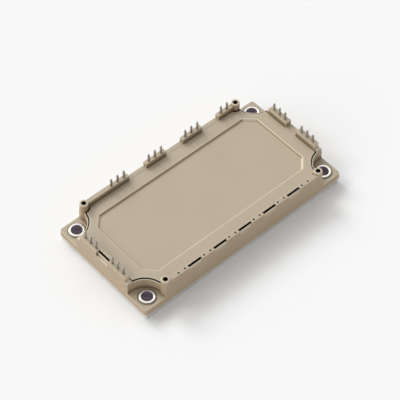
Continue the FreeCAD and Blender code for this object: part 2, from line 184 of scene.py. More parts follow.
class StageSettings(bpy.types.PropertyGroup):
    """The floor, the light and the camera."""

    floor_size: length_setting("Floor Size", "Length of the floor's sides", 20000)
    floor: colour_setting("Floor", "White of the matte board floor", "#F7F7F7")
    back_strength: strength_setting("Back Strength", "Strength of the soft light behind the far side", 1.35)
    back_azimuth: angle_setting("Back Azimuth", "Its direction, from +X towards +Y", 90)
    back_elevation: angle_setting("Back Elevation", "Its height over the horizon", 38)
    back_spread: angle_setting("Back Spread", "Its width as the object sees it", 25)
    left_strength: strength_setting("Left Strength", "Strength of the soft light behind the left corner", 0.7)
    left_azimuth: angle_setting("Left Azimuth", "Its direction, from +X towards +Y", 130)
    left_elevation: angle_setting("Left Elevation", "Its height over the horizon", 41)
    left_spread: angle_setting("Left Spread", "Its width as the object sees it", 25)
    box_strength: strength_setting("Softbox Strength", "Strength of the softbox over the far right corner", 0.3)
    box_azimuth: angle_setting("Softbox Azimuth", "Its direction, from +X towards +Y", 48)
    box_elevation: angle_setting("Softbox Elevation", "Its height over the horizon", 51)
    box_spread: angle_setting("Softbox Spread", "Its width as the object sees it", 35)
    side_strength: strength_setting("Side Strength", "Strength of the low light on the left side", 0.42)
    side_azimuth: angle_setting("Side Azimuth", "Its direction, from +X towards +Y", 180)
    side_elevation: angle_setting("Side Elevation", "Its height over the horizon", 25)
    side_spread: angle_setting("Side Spread", "Its width as the object sees it", 40)
    dome_strength: strength_setting("Dome Strength", "Light from all round", 0.47)
    camera_azimuth: angle_setting("Camera Azimuth", "Direction of the camera, 0 looking along +Y", -41.844)
    camera_elevation: angle_setting("Camera Elevation", "Height of the camera over the horizon", 51.341)
    camera_roll: angle_setting("Camera Roll", "Turn of the camera about its own axis", 0.319)
    camera_distance: length_setting("Camera Distance", "From the camera to the module's middle", 763.921)
    camera_right: offset_setting("Camera Right", "How far the camera stands to its right", -0.83)
    camera_up: offset_setting("Camera Up", "How far the camera stands up along its own axis", 4.436)
    camera_lens: FloatProperty(
        name="Lens", description="Focal length on a 36 mm sensor", unit="CAMERA", min=1, default=145.48)


def add(tree, kind, inputs=None, **settings):
    """Adds one node with its settings. An input is a value, or a node or socket that is linked to it."""
    node = tree.nodes.new(kind)
    for name, value in settings.items():
        setattr(node, name, value)
    for key, value in (inputs or {}).items():
        if isinstance(value, bpy.types.Node):
            value = value.outputs[0]
        if isinstance(value, bpy.types.NodeSocket):
            tree.links.new(value, node.inputs[key])
        else:
            node.inputs[key].default_value = value
    return node


def per_mm(size):
    """The scale at which a pattern repeats about every size millimetres on coordinates in metres."""
    return 1 / (size * MM)


def rgba(colour):
    """A colour with full alpha."""
    return (*colour, 1.0)


def new_finish(name):
    """An empty material, its tree and a node that gives the piece's own coordinates."""
    material = bpy.data.materials.new(name)
    material.use_nodes = True
    tree = material.node_tree
    tree.nodes.clear()
    return material, tree, add(tree, "ShaderNodeTexCoord").outputs["Object"]


def close_finish(tree, surface):
    """Joins the last shader to the material's output."""
    add(tree, "ShaderNodeOutputMaterial", {"Surface": surface})


def moulded_pbt(settings):
    """Glass-filled PBT, moulded in a spark-eroded tool.

    The tool's fine pitted skin scatters the light to a flat satin. Fibre ends show as pale flecks,
    and the melt's flow as broad faint clouds. Rounded edges and small proud faces are a little paler
    and smoother, partly from wear and partly as painted highlight. Level faces take a greyer tan as painted
    sheen and upright faces a warmer one as painted shade. Inner corners turn brown and the walls of slots,
    holes and the lid's gap near black, both as painted shade.
    """
    cloud_size = 16
    fleck_size = 0.55
    # The real pits are about 0.05 mm across, too fine to show, so they are drawn coarser.
    pit_size = 0.45
    # The open shares round a point at which the painted corner shade is full and at which it is gone.
    wall_full, wall_clean = 0.3, 0.97
    level_full, level_clean = 0.25, 0.66
    wear_and_highlight_strength = 0.7
    material, tree, place = new_finish("PBT, glass-filled, moulded satin")
    # Painted sheen and shade: level faces take the greyer tan and upright faces the warmer one.
    on_level = add(tree, "ShaderNodeAttribute", attribute_name=LEVEL)
    lit_and_shaded_tan = add(tree, "ShaderNodeMix", {
        0: on_level.outputs["Fac"], 6: rgba(settings.wall), 7: rgba(settings.level)}, data_type="RGBA")
    cloud = add(tree, "ShaderNodeTexNoise", {"Vector": place, "Scale": per_mm(cloud_size), "Detail": 3.0})
    clouded = add(tree, "ShaderNodeMapRange", {
        "Value": cloud, "From Min": 0.35, "From Max": 0.65, "To Min": settings.shade, "To Max": 1.0})
    body = add(tree, "ShaderNodeHueSaturation", {"Value": clouded, "Color": lit_and_shaded_tan.outputs[2]})
    fibre = add(tree, "ShaderNodeTexNoise", {"Vector": place, "Scale": per_mm(fleck_size), "Detail": 1.0})
    fleck = add(tree, "ShaderNodeMapRange", {
        "Value": fibre, "From Min": 0.6, "From Max": 0.75, "To Max": 0.35})
    flecked = add(tree, "ShaderNodeMix", {
        0: fleck, 6: body.outputs[0], 7: rgba(settings.fibre)}, data_type="RGBA")
    # Partly edge wear and partly painted highlight: convex rounded edges and small proud faces turn paler.
    rubbed = add(tree, "ShaderNodeAttribute", attribute_name=WEAR_AND_HIGHLIGHT)
    wear_and_highlight = add(tree, "ShaderNodeMath", {0: rubbed.outputs["Fac"], 1: wear_and_highlight_strength}, operation="MULTIPLY")
    wear_and_highlight_tinted = add(tree, "ShaderNodeMix", {
        0: wear_and_highlight, 6: flecked.outputs[2], 7: rgba(settings.rubbed)}, data_type="RGBA")
    # Painted shade: the less open sky a point sees, the more it turns to the corner brown, except on worn and
    # highlighted faces.
    open_share = add(tree, "ShaderNodeAmbientOcclusion", {"Distance": settings.corner_shade_reach}, samples=8)
    full = add(tree, "ShaderNodeMix", {0: on_level.outputs["Fac"], 2: wall_full, 3: level_full})
    clean = add(tree, "ShaderNodeMix", {0: on_level.outputs["Fac"], 2: wall_clean, 3: level_clean})
    corner_shade_amount = add(tree, "ShaderNodeMapRange", {
        "Value": open_share.outputs["AO"], "From Min": full, "From Max": clean, "To Min": 1.0, "To Max": 0.0})
    outside_wear_and_highlight = add(tree, "ShaderNodeMath", {0: 1.0, 1: rubbed.outputs["Fac"]}, operation="SUBTRACT")
    painted_corner_shade = add(tree, "ShaderNodeMath", {0: corner_shade_amount, 1: outside_wear_and_highlight}, operation="MULTIPLY")
    corner_shaded = add(tree, "ShaderNodeMix", {
        0: painted_corner_shade, 6: wear_and_highlight_tinted.outputs[2], 7: rgba(settings.corner)}, data_type="RGBA")
    # Painted shade: faces that look straight at a near wall of the frame go near black, rougher and with a
    # lower specular level, which dims their reflections.
    in_gap_shade = add(tree, "ShaderNodeAttribute", attribute_name=GAP_SHADE)
    gap_shaded = add(tree, "ShaderNodeMix", {
        0: in_gap_shade.outputs["Fac"], 6: corner_shaded.outputs[2], 7: rgba(settings.gap)}, data_type="RGBA")
    worn_gloss = add(tree, "ShaderNodeMapRange", {
        "Value": rubbed.outputs["Fac"], "To Min": 0.46, "To Max": 0.36})
    gloss = add(tree, "ShaderNodeMix", {0: in_gap_shade.outputs["Fac"], 2: worn_gloss, 3: 0.9})
    sheen = add(tree, "ShaderNodeMapRange", {"Value": in_gap_shade.outputs["Fac"], "To Min": 0.5, "To Max": 0.1})
    pits = add(tree, "ShaderNodeTexNoise", {"Vector": place, "Scale": per_mm(pit_size), "Detail": 2.0})
    skin = add(tree, "ShaderNodeBump", {"Strength": 0.25, "Distance": 0.02 * MM, "Height": pits})
    close_finish(tree, add(tree, "ShaderNodeBsdfPrincipled", {
        "Base Color": gap_shaded.outputs[2], "Roughness": gloss, "IOR": 1.55, "Specular IOR Level": sheen,
        "Normal": skin}))
    return material


def rolled_nickel(settings):
    """Copper plate, rolled and then nickel plated.

    The rolling lines run along the plate under the thin plating and draw its reflections out.
    """
    line_length = 25
    line_width = 0.35
    stain_size = 12
    bore_margin = 0.1 * MM
    material, tree, place = new_finish("Copper, rolled, nickel plated")
    stretch = (per_mm(line_length), per_mm(line_width), per_mm(line_width))
    along = add(tree, "ShaderNodeMapping", {"Vector": place, "Scale": stretch})
    lines = add(tree, "ShaderNodeTexNoise", {"Vector": along, "Scale": 1.0, "Detail": 4.0})
    stains = add(tree, "ShaderNodeTexNoise", {"Vector": place, "Scale": per_mm(stain_size), "Detail": 3.0})
    plated = add(tree, "ShaderNodeMix", {
        0: stains, 6: rgba(settings.plate), 7: rgba(settings.plate_stain)}, data_type="RGBA")
    low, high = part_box("screw_bush_1")
    screw = (abs(low.x + high.x) / 2, abs(low.y + high.y) / 2, 0)
    corner = add(tree, "ShaderNodeVectorMath", {0: place}, operation="ABSOLUTE")
    from_screw = add(tree, "ShaderNodeVectorMath", {0: corner, 1: screw}, operation="SUBTRACT")
    flat = add(tree, "ShaderNodeVectorMath", {0: from_screw, 1: (1, 1, 0)}, operation="MULTIPLY")
    radius = add(tree, "ShaderNodeVectorMath", {0: flat}, operation="LENGTH")
    # The walls of the screw holes take the violet grey bore colour.
    bore_reach = screw_hole_radius + bore_margin
    in_hole = add(tree, "ShaderNodeMath", {0: radius.outputs["Value"], 1: bore_reach}, operation="LESS_THAN")
    colour = add(tree, "ShaderNodeMix", {
        0: in_hole, 6: plated.outputs[2], 7: rgba(settings.bore)}, data_type="RGBA")
    gloss = add(tree, "ShaderNodeMapRange", {"Value": lines, "To Min": 0.22, "To Max": 0.42})
    relief = add(tree, "ShaderNodeBump", {"Strength": 0.2, "Distance": 0.01 * MM, "Height": lines})
    close_finish(tree, add(tree, "ShaderNodeBsdfPrincipled", {
        "Base Color": colour.outputs[2], "Metallic": 1.0, "Roughness": gloss, "Normal": relief}))
    return material


def turned_nickel(settings):
    """Steel bush, turned and bright nickel plated.

    The lathe leaves fine rings about the bore, which the bright plating follows.
    """
    # The real feed marks are about 0.1 mm apart, too fine to show, so they are drawn coarser.
    ring_pitch = 0.25
    wear_size = 1.5
    material, tree, place = new_finish("Steel, turned, bright nickel plated")
    on_ring = add(tree, "ShaderNodeAttribute", attribute_name=RING_PLACE)
    split = add(tree, "ShaderNodeSeparateXYZ", {0: on_ring.outputs["Vector"]})
    flat = add(tree, "ShaderNodeCombineXYZ", {0: split.outputs[0], 1: split.outputs[1]})
    radius = add(tree, "ShaderNodeVectorMath", {0: flat}, operation="LENGTH")
    height = add(tree, "ShaderNodeMath", {0: radius.outputs["Value"], 1: split.outputs[2]}, operation="ADD")
    rings = add(tree, "ShaderNodeTexNoise", {
        "W": height, "Scale": per_mm(ring_pitch), "Detail": 2.0}, noise_dimensions="1D")
    wear = add(tree, "ShaderNodeTexNoise", {"Vector": place, "Scale": per_mm(wear_size), "Detail": 3.0})
    plated = add(tree, "ShaderNodeMix", {
        0: wear, 6: rgba(settings.bright_nickel), 7: rgba(settings.nickel)}, data_type="RGBA")
    # Inside the bore the bush takes the violet grey bore colour and a rougher finish.
    bore_reach = screw_hole_radius + settings.bush_edge_radius / 2
    in_bore = add(tree, "ShaderNodeMath", {0: radius.outputs["Value"], 1: bore_reach}, operation="LESS_THAN")
    colour = add(tree, "ShaderNodeMix", {
        0: in_bore, 6: plated.outputs[2], 7: rgba(settings.bore)}, data_type="RGBA")
    turned_gloss = add(tree, "ShaderNodeMapRange", {"Value": rings, "To Min": 0.14, "To Max": 0.34})
    gloss = add(tree, "ShaderNodeMix", {0: in_bore, 2: turned_gloss, 3: 0.6})
    relief = add(tree, "ShaderNodeBump", {"Strength": 0.25, "Distance": 0.01 * MM, "Height": rings})
    close_finish(tree, add(tree, "ShaderNodeBsdfPrincipled", {
        "Base Color": colour.outputs[2], "Metallic": 1.0, "Roughness": gloss, "Normal": relief}))
    return material


def tinned_copper(settings):
    """Copper strip, stamped and tin plated.

    The drawn grain runs up the pins, and the tin is bright in streaks between duller grey.
    """
    streak_length = 4
    streak_width = 0.4
    material, tree, place = new_finish("Copper, stamped, tin plated")
    stretch = (per_mm(streak_width), per_mm(streak_width), per_mm(streak_length))
    upward = add(tree, "ShaderNodeMapping", {"Vector": place, "Scale": stretch})
    streaks = add(tree, "ShaderNodeTexNoise", {"Vector": upward, "Scale": 1.0, "Detail": 3.0})
    colour = add(tree, "ShaderNodeMix", {
        0: streaks, 6: rgba(settings.tin), 7: rgba(settings.tin_dull)}, data_type="RGBA")
    gloss = add(tree, "ShaderNodeMapRange", {"Value": streaks, "To Min": 0.12, "To Max": 0.3})
    relief = add(tree, "ShaderNodeBump", {"Strength": 0.15, "Distance": 0.01 * MM, "Height": streaks})
    close_finish(tree, add(tree, "ShaderNodeBsdfPrincipled", {
        "Base Color": colour.outputs[2], "Metallic": 1.0, "Roughness": gloss, "Normal": relief}))
    return material


def etched_copper(settings):
    """Copper foil, bonded to the ceramic and etched.

    The bonding heat grows grains that the etch leaves at slightly different dullness.
    """
    grain_size = 0.6
    material, tree, place = new_finish("Copper, bonded, etched")
    grains = add(tree, "ShaderNodeTexVoronoi", {"Vector": place, "Scale": per_mm(grain_size)})
    shade = add(tree, "ShaderNodeSeparateColor", {0: grains.outputs["Color"]})
    colour = add(tree, "ShaderNodeHueSaturation", {"Color": rgba(settings.copper)})
    value = add(tree, "ShaderNodeMapRange", {"Value": shade, "To Min": 0.92, "To Max": 1.05})
    tree.links.new(value.outputs[0], colour.inputs["Value"])
    gloss = add(tree, "ShaderNodeMapRange", {"Value": shade, "To Min": 0.32, "To Max": 0.5})
    close_finish(tree, add(tree, "ShaderNodeBsdfPrincipled", {
        "Base Color": colour, "Metallic": 1.0, "Roughness": gloss}))
    return material


def cooled_solder(settings):
    """Tin solder, reflowed.

    It cools with a frosted, faintly rippled skin.
    """
    frost_size = 0.8
    material, tree, place = new_finish("Solder, reflowed")
    frost = add(tree, "ShaderNodeTexNoise", {"Vector": place, "Scale": per_mm(frost_size), "Detail": 3.0})
    colour = add(tree, "ShaderNodeMix", {
        0: frost, 6: rgba(settings.solder), 7: rgba(settings.tin_dull)}, data_type="RGBA")
    gloss = add(tree, "ShaderNodeMapRange", {"Value": frost, "To Min": 0.35, "To Max": 0.55})
    relief = add(tree, "ShaderNodeBump", {"Strength": 0.3, "Distance": 0.02 * MM, "Height": frost})
    close_finish(tree, add(tree, "ShaderNodeBsdfPrincipled", {
        "Base Color": colour.outputs[2], "Metallic": 1.0, "Roughness": gloss, "Normal": relief}))
    return material


def drawn_aluminium(settings):
    """Aluminium bond wire, drawn.

    The die leaves it smooth, with a soft grey sheen that varies a little along each wire.
    """
    sheen_size = 1.2
    material, tree, place = new_finish("Aluminium, drawn wire")
    sheen = add(tree, "ShaderNodeTexNoise", {"Vector": place, "Scale": per_mm(sheen_size), "Detail": 2.0})
    colour = add(tree, "ShaderNodeMix", {
        0: sheen, 6: rgba(settings.wire), 7: rgba(settings.solder)}, data_type="RGBA")
    gloss = add(tree, "ShaderNodeMapRange", {"Value": sheen, "To Min": 0.25, "To Max": 0.4})
    close_finish(tree, add(tree, "ShaderNodeBsdfPrincipled", {
        "Base Color": colour.outputs[2], "Metallic": 1.0, "Roughness": gloss}))
    return material


def fired_alumina(settings):
    """Alumina ceramic, fired and lapped.

    It is off-white with a fine mineral speckle and a dull, slightly waxy face.
    """
    speckle_size = 0.5
    material, tree, place = new_finish("Alumina, fired, lapped")
    speckle = add(tree, "ShaderNodeTexNoise", {"Vector": place, "Scale": per_mm(speckle_size), "Detail": 3.0})
    value = add(tree, "ShaderNodeMapRange", {"Value": speckle, "To Min": 0.94, "To Max": 1.04})
    colour = add(tree, "ShaderNodeHueSaturation", {"Value": value, "Color": rgba(settings.ceramic)})
    gloss = add(tree, "ShaderNodeMapRange", {"Value": speckle, "To Min": 0.45, "To Max": 0.6})
    close_finish(tree, add(tree, "ShaderNodeBsdfPrincipled", {
        "Base Color": colour, "Roughness": gloss, "IOR": 1.77}))
    return material


def metallised_silicon(settings):
    """Silicon chip, metallised on top and sawn at its sides.

    The top is frosted aluminium, and the sawn sides are dark glassy silicon.
    """
    frost_size = 0.4
    material, tree, place = new_finish("Silicon, metallised, sawn")
    normal = add(tree, "ShaderNodeNewGeometry").outputs["Normal"]
    upward = add(tree, "ShaderNodeSeparateXYZ", {0: normal})
    on_top = add(tree, "ShaderNodeMath", {0: upward.outputs[2], 1: 0.5}, operation="GREATER_THAN")
    frost = add(tree, "ShaderNodeTexNoise", {"Vector": place, "Scale": per_mm(frost_size), "Detail": 3.0})
    dull = add(tree, "ShaderNodeMix", {
        0: frost, 6: rgba(settings.chip_metal), 7: rgba(settings.silicon)}, data_type="RGBA")
    faint = add(tree, "ShaderNodeMix", {
        0: 0.25, 6: rgba(settings.chip_metal), 7: dull.outputs[2]}, data_type="RGBA")
    colour = add(tree, "ShaderNodeMix", {
        0: on_top, 6: rgba(settings.silicon), 7: faint.outputs[2]}, data_type="RGBA")
    gloss = add(tree, "ShaderNodeMapRange", {"Value": frost, "To Min": 0.3, "To Max": 0.5})
    close_finish(tree, add(tree, "ShaderNodeBsdfPrincipled", {
        "Base Color": colour.outputs[2], "Metallic": on_top, "Roughness": gloss}))
    return material


def capped_sensor(settings, metals):
    """Temperature sensor: a fired ceramic body with tinned caps at its two ends."""
    cap_length = 0.6
    grain_size = 0.3
    low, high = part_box("temperature_sensor")
    middle = (low + high) / 2
    reach = (high.x - low.x) / 2 - cap_length * MM
    material, tree, place = new_finish("Ceramic sensor, fired, tinned ends")
    centred = add(tree, "ShaderNodeMapping", {"Vector": place, "Location": -middle})
    split = add(tree, "ShaderNodeSeparateXYZ", {0: centred})
    distance = add(tree, "ShaderNodeMath", {0: split}, operation="ABSOLUTE")
    on_cap = add(tree, "ShaderNodeMath", {0: distance, 1: reach}, operation="GREATER_THAN")
    grain = add(tree, "ShaderNodeTexNoise", {"Vector": place, "Scale": per_mm(grain_size), "Detail": 2.0})
    colour = add(tree, "ShaderNodeMix", {
        0: on_cap, 6: rgba(settings.sensor), 7: rgba(metals.tin)}, data_type="RGBA")
    gloss = add(tree, "ShaderNodeMapRange", {"Value": grain, "To Min": 0.3, "To Max": 0.5})
    close_finish(tree, add(tree, "ShaderNodeBsdfPrincipled", {
        "Base Color": colour.outputs[2], "Metallic": on_cap, "Roughness": gloss}))
    return material


def soft_gel(settings):
    """Clear silicone gel, poured and cured.

    It is nearly water clear and wet looking, with a faintly uneven surface.
    """
    swell_size = 9
    material, tree, place = new_finish("Silicone gel, poured, clear")
    swell = add(tree, "ShaderNodeTexNoise", {"Vector": place, "Scale": per_mm(swell_size), "Detail": 1.0})
    relief = add(tree, "ShaderNodeBump", {"Strength": 0.2, "Distance": 0.1 * MM, "Height": swell})
    value = add(tree, "ShaderNodeMapRange", {"Value": swell, "To Min": 0.97, "To Max": 1.0})
    colour = add(tree, "ShaderNodeHueSaturation", {"Value": value, "Color": rgba(settings.gel)})
    close_finish(tree, add(tree, "ShaderNodeBsdfPrincipled", {
        "Base Color": colour, "Roughness": 0.04, "IOR": 1.41, "Transmission Weight": 1.0, "Normal": relief}))
    return material


def cured_adhesive(settings):
    """Silicone adhesive, pressed out and cured.

    It is dull grey rubber with a slightly lumpy face.
    """
    lump_size = 0.7
    material, tree, place = new_finish("Silicone adhesive, cured")
    lumps = add(tree, "ShaderNodeTexNoise", {"Vector": place, "Scale": per_mm(lump_size), "Detail": 2.0})
    value = add(tree, "ShaderNodeMapRange", {"Value": lumps, "To Min": 0.9, "To Max": 1.05})
    colour = add(tree, "ShaderNodeHueSaturation", {"Value": value, "Color": rgba(settings.adhesive)})
    relief = add(tree, "ShaderNodeBump", {"Strength": 0.3, "Distance": 0.05 * MM, "Height": lumps})
    close_finish(tree, add(tree, "ShaderNodeBsdfPrincipled", {
        "Base Color": colour, "Roughness": 0.6, "IOR": 1.41, "Normal": relief}))
    return material


def matte_board(settings):
    """Painted board for the floor, matte white with a faint paper tooth."""
    tooth_size = 3
    material, tree, place = new_finish("Board, painted, matte white")
    tooth = add(tree, "ShaderNodeTexNoise", {"Vector": place, "Scale": per_mm(tooth_size), "Detail": 2.0})
    value = add(tree, "ShaderNodeMapRange", {"Value": tooth, "To Min": 0.995, "To Max": 1.005})
    colour = add(tree, "ShaderNodeHueSaturation", {"Value": value, "Color": rgba(settings.floor)})
    close_finish(tree, add(tree, "ShaderNodeBsdfPrincipled", {
        "Base Color": colour, "Roughness": 0.9, "Specular IOR Level": 0.0}))
    return material


def dress(piece, material):
    """Gives the whole piece one material."""
    piece.data.materials.clear()
    piece.data.materials.append(material)


def link_piece(name, mesh):
    """A shown object for the mesh, at the origin."""
    piece = bpy.data.objects.new(name, mesh)
    bpy.context.scene.collection.objects.link(piece)
    return piece


def evaluated_mesh(piece):
    """A plain mesh of what the object and its modifiers give."""
    scene_now = bpy.context.evaluated_depsgraph_get()
    return bpy.data.meshes.new_from_object(piece.evaluated_get(scene_now))


def remove_object(piece):
    """Removes a helper object and its mesh."""
    mesh = piece.data
    bpy.data.objects.remove(piece)
    bpy.data.meshes.remove(mesh)


def solid_tree(nodes):
    """The surfaces of some nodes, ready for looking up what faces what."""
    corners = []
    faces = []
    for node in nodes:
        mesh = frame["nodes"][node].data
        start = len(corners)
        corners += [v.co.copy() for v in mesh.vertices]
        faces += [[start + k for k in p.vertices] for p in mesh.polygons]
    return BVHTree.FromPolygons(corners, faces)


def mark_faces(shape, settings):
    """Marks the faces that look straight at a near wall of the frame, for the painted gap shade, and the small
    proud ones, for wear and painted highlight.
    """
    walls = solid_tree(("frame",))
    solids = solid_tree(("frame", "lid"))
    gap = shape.faces.layers.float.new(GAP_SHADE)
    rubbed = shape.faces.layers.float.get(WEAR_AND_HIGHLIGHT)
    for face in shape.faces:
        start = face.calc_center_median() + face.normal * WELD_DISTANCE
        face[gap] = walls.ray_cast(start, face.normal, settings.gap_width)[0] is not None
        small = face.calc_area() < settings.small_face
        sharp = all(e.calc_face_angle() > SHARP_ANGLE for e in face.edges)
        # A small proud face open to the sky is made paler, partly as wear and partly as painted highlight.
        if small and sharp and solids.ray_cast(start, face.normal)[0] is None:
            face[rubbed] = settings.wear_and_highlight_share


def rounded_mesh(node, radius, steps, moulding=None):
    """A copy of a node's mesh with welded, flat-joined faces and every sharp edge rounded."""
    shape = bmesh.new()
    shape.from_mesh(frame["nodes"][node].data)
    bmesh.ops.remove_doubles(shape, verts=shape.verts, dist=WELD_DISTANCE)
    bmesh.ops.dissolve_limit(shape, angle_limit=FLAT_ANGLE, verts=shape.verts, edges=shape.edges)
    shape.normal_update()
    rubbed = shape.faces.layers.float.new(WEAR_AND_HIGHLIGHT)
    if moulding:
        mark_faces(shape, moulding)
    sharp = [e for e in shape.edges if e.is_manifold and e.calc_face_angle() > SHARP_ANGLE]
    rounded = bmesh.ops.bevel(
        shape, geom=sharp, offset=radius, offset_type="OFFSET", segments=steps, profile=0.5,
        affect="EDGES", clamp_overlap=False)
    shape.normal_update()
    gap = shape.faces.layers.float.get(GAP_SHADE)
    # A convex rounded strip is made paler, partly as edge wear and partly as painted highlight; no rounded
    # strip gets the painted gap shade.
    for face in rounded["faces"]:
        face[rubbed] = sum(e.calc_face_angle_signed(0) for e in face.edges) > 0
        if gap:
            face[gap] = 0
    level = shape.faces.layers.float.new(LEVEL)
    for face in shape.faces:
        face[level] = face.normal.z > LEVEL_SLOPE
    return shape_mesh(shape, node)


def shape_mesh(shape, name):
    """A smooth-shaded mesh of the shape, with its creases kept sharp."""
    for face in shape.faces:
        face.smooth = True
    for edge in shape.edges:
        edge.smooth = not edge.is_manifold or edge.calc_face_angle() < CREASE_ANGLE
    mesh = bpy.data.meshes.new(name)
    shape.to_mesh(mesh)
    shape.free()
    return mesh


def weigh_normals(piece):
    """Lets the large faces keep their flat shading beside the rounded edges."""
    modifier = piece.modifiers.new("Flat faces stay flat", "WEIGHTED_NORMAL")
    modifier.weight = 100
    modifier.keep_sharp = True


def settled(carrier, name):
    """A plain piece made of the carrier and its modifiers, in place of the carrier."""
    mesh = evaluated_mesh(carrier)
    mesh.name = name
    remove_object(carrier)
    return link_piece(name, mesh)


def place_piece(piece, nodes):
    """Puts the piece on the body and hides the nodes that it stands for."""
    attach(piece, BODY)
    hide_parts(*nodes)


def moulded_piece(node, radius, slot):
    """A moulded part, named for its slot: the node's form with rounded edges."""
    settings = bpy.context.scene.power_module_moulding
    carrier = link_piece(slot + "_carrier", rounded_mesh(node, radius, settings.rounding_steps, settings))
    weigh_normals(carrier)
    piece = settled(carrier, slot)
    dress(piece, moulded_pbt(settings))
    place_piece(piece, [node])


def node_group(name, inputs):
    """A geometry tree with named inputs and one geometry output."""
    tree = bpy.data.node_groups.new(name, "GeometryNodeTree")
    for label, kind in inputs:
        tree.interface.new_socket(label, in_out="INPUT", socket_type=kind)
    tree.interface.new_socket("Result", in_out="OUTPUT", socket_type="NodeSocketGeometry")
    return tree, add(tree, "NodeGroupInput").outputs


def run_nodes(carrier, tree, values):
    """Gives the carrier the tree as a modifier, with its inputs set by their identifiers."""
    modifier = carrier.modifiers.new(tree.name, "NODES")
    modifier.node_group = tree
    for socket in tree.interface.items_tree:
        if socket.in_out == "INPUT" and socket.name in values:
            modifier[socket.identifier] = values[socket.name]


def points_mesh(name, places):
    """A mesh of loose points."""
    mesh = bpy.data.meshes.new(name)
    mesh.from_pydata([tuple(p) for p in places], [], [])
    return mesh


def bush_tree():
    """A rounded section swept round a circle, with one such ring on each point."""
    tree, given = node_group("Turned ring on each point", (
        ("Points", "NodeSocketGeometry"), ("Bore Radius", "NodeSocketFloat"), ("Wall", "NodeSocketFloat"),
        ("Height", "NodeSocketFloat"), ("Edge Radius", "NodeSocketFloat"), ("Facets", "NodeSocketInt"),
        ("Finish", "NodeSocketMaterial")))
    half_wall = add(tree, "ShaderNodeMath", {0: given["Wall"], 1: 0.5}, operation="MULTIPLY")
    middle = add(tree, "ShaderNodeMath", {0: given["Bore Radius"], 1: half_wall}, operation="ADD")
    circle = add(tree, "GeometryNodeCurvePrimitiveCircle", {"Resolution": given["Facets"], "Radius": middle})
    section = add(tree, "GeometryNodeCurvePrimitiveQuadrilateral", {
        "Width": given["Wall"], "Height": given["Height"]})
    rounded = add(tree, "GeometryNodeFilletCurve", {
        "Curve": section, "Count": 3, "Radius": given["Edge Radius"], "Limit Radius": True}, mode="POLY")
    ring = add(tree, "GeometryNodeCurveToMesh", {"Curve": circle, "Profile Curve": rounded})
    place = add(tree, "GeometryNodeInputPosition")
    marked = add(tree, "GeometryNodeStoreNamedAttribute", {
        "Geometry": ring, "Name": RING_PLACE, "Value": place}, data_type="FLOAT_VECTOR")
    each = add(tree, "GeometryNodeInstanceOnPoints", {"Points": given["Points"], "Instance": marked})
    joined = add(tree, "GeometryNodeRealizeInstances", {"Geometry": each})
    finished = add(tree, "GeometryNodeSetMaterial", {"Geometry": joined, "Material": given["Finish"]})
    add(tree, "NodeGroupOutput", {"Result": finished})
    return tree


def pin_tree():
    """One copy of the given pin on each point."""
    tree, given = node_group("Pin on each point", (
        ("Points", "NodeSocketGeometry"), ("Pin", "NodeSocketObject"), ("Finish", "NodeSocketMaterial")))
    pin = add(tree, "GeometryNodeObjectInfo", {"Object": given["Pin"]})
    each = add(tree, "GeometryNodeInstanceOnPoints", {
        "Points": given["Points"], "Instance": pin.outputs["Geometry"]})
    joined = add(tree, "GeometryNodeRealizeInstances", {"Geometry": each})
    finished = add(tree, "GeometryNodeSetMaterial", {"Geometry": joined, "Material": given["Finish"]})
    add(tree, "NodeGroupOutput", {"Result": finished})
    return tree


def box_middle(node):
    """The middle of a node's box."""
    low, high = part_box(node)
    return (low + high) / 2


class POWERMODULE_OT_frame_moulding(bpy.types.Operator):
    """Make the moulded frame with its rounded edges"""

    bl_idname = "power_module.frame_moulding"
    bl_label = "Frame Moulding"

    def execute(self, context):
        settings = context.scene.power_module_moulding
        moulded_piece("frame", settings.frame_edge_radius, "frame_moulding")
        return {"FINISHED"}


class POWERMODULE_OT_lid_moulding(bpy.types.Operator):
    """Make the moulded lid with its rounded edges"""

    bl_idname = "power_module.lid_moulding"
    bl_label = "Lid Moulding"

    def execute(self, context):
        settings = context.scene.power_module_moulding
        moulded_piece("lid", settings.lid_edge_radius, "lid_moulding")
        return {"FINISHED"}


class POWERMODULE_OT_base_plate(bpy.types.Operator):
    """Give the base plate its rolled and plated finish"""

    bl_idname = "power_module.base_plate"
    bl_label = "Base Plate"

    def execute(self, context):
        dress(frame["nodes"]["base_plate"], rolled_nickel(context.scene.power_module_metal))
        return {"FINISHED"}


class POWERMODULE_OT_screw_bushes(bpy.types.Operator):
    """Make the four turned screw bushes"""

    bl_idname = "power_module.screw_bushes"
    bl_label = "Screw Bushes"

    def execute(self, context):
        settings = context.scene.power_module_metal
        nodes = numbered_nodes("screw_bush")
        low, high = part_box(nodes[0])
        carrier = link_piece("bush_carrier", points_mesh("bush_places", [box_middle(n) for n in nodes]))
        run_nodes(carrier, bush_tree(), {
            "Bore Radius": screw_hole_radius,
            "Wall": (high.x - low.x) / 2 - screw_hole_radius,
            "Height": high.z - low.z,
            "Edge Radius": settings.bush_edge_radius,
            "Facets": settings.bush_facets,
            "Finish": turned_nickel(settings),
        })
        place_piece(settled(carrier, "screw_bushes"), nodes)
        return {"FINISHED"}


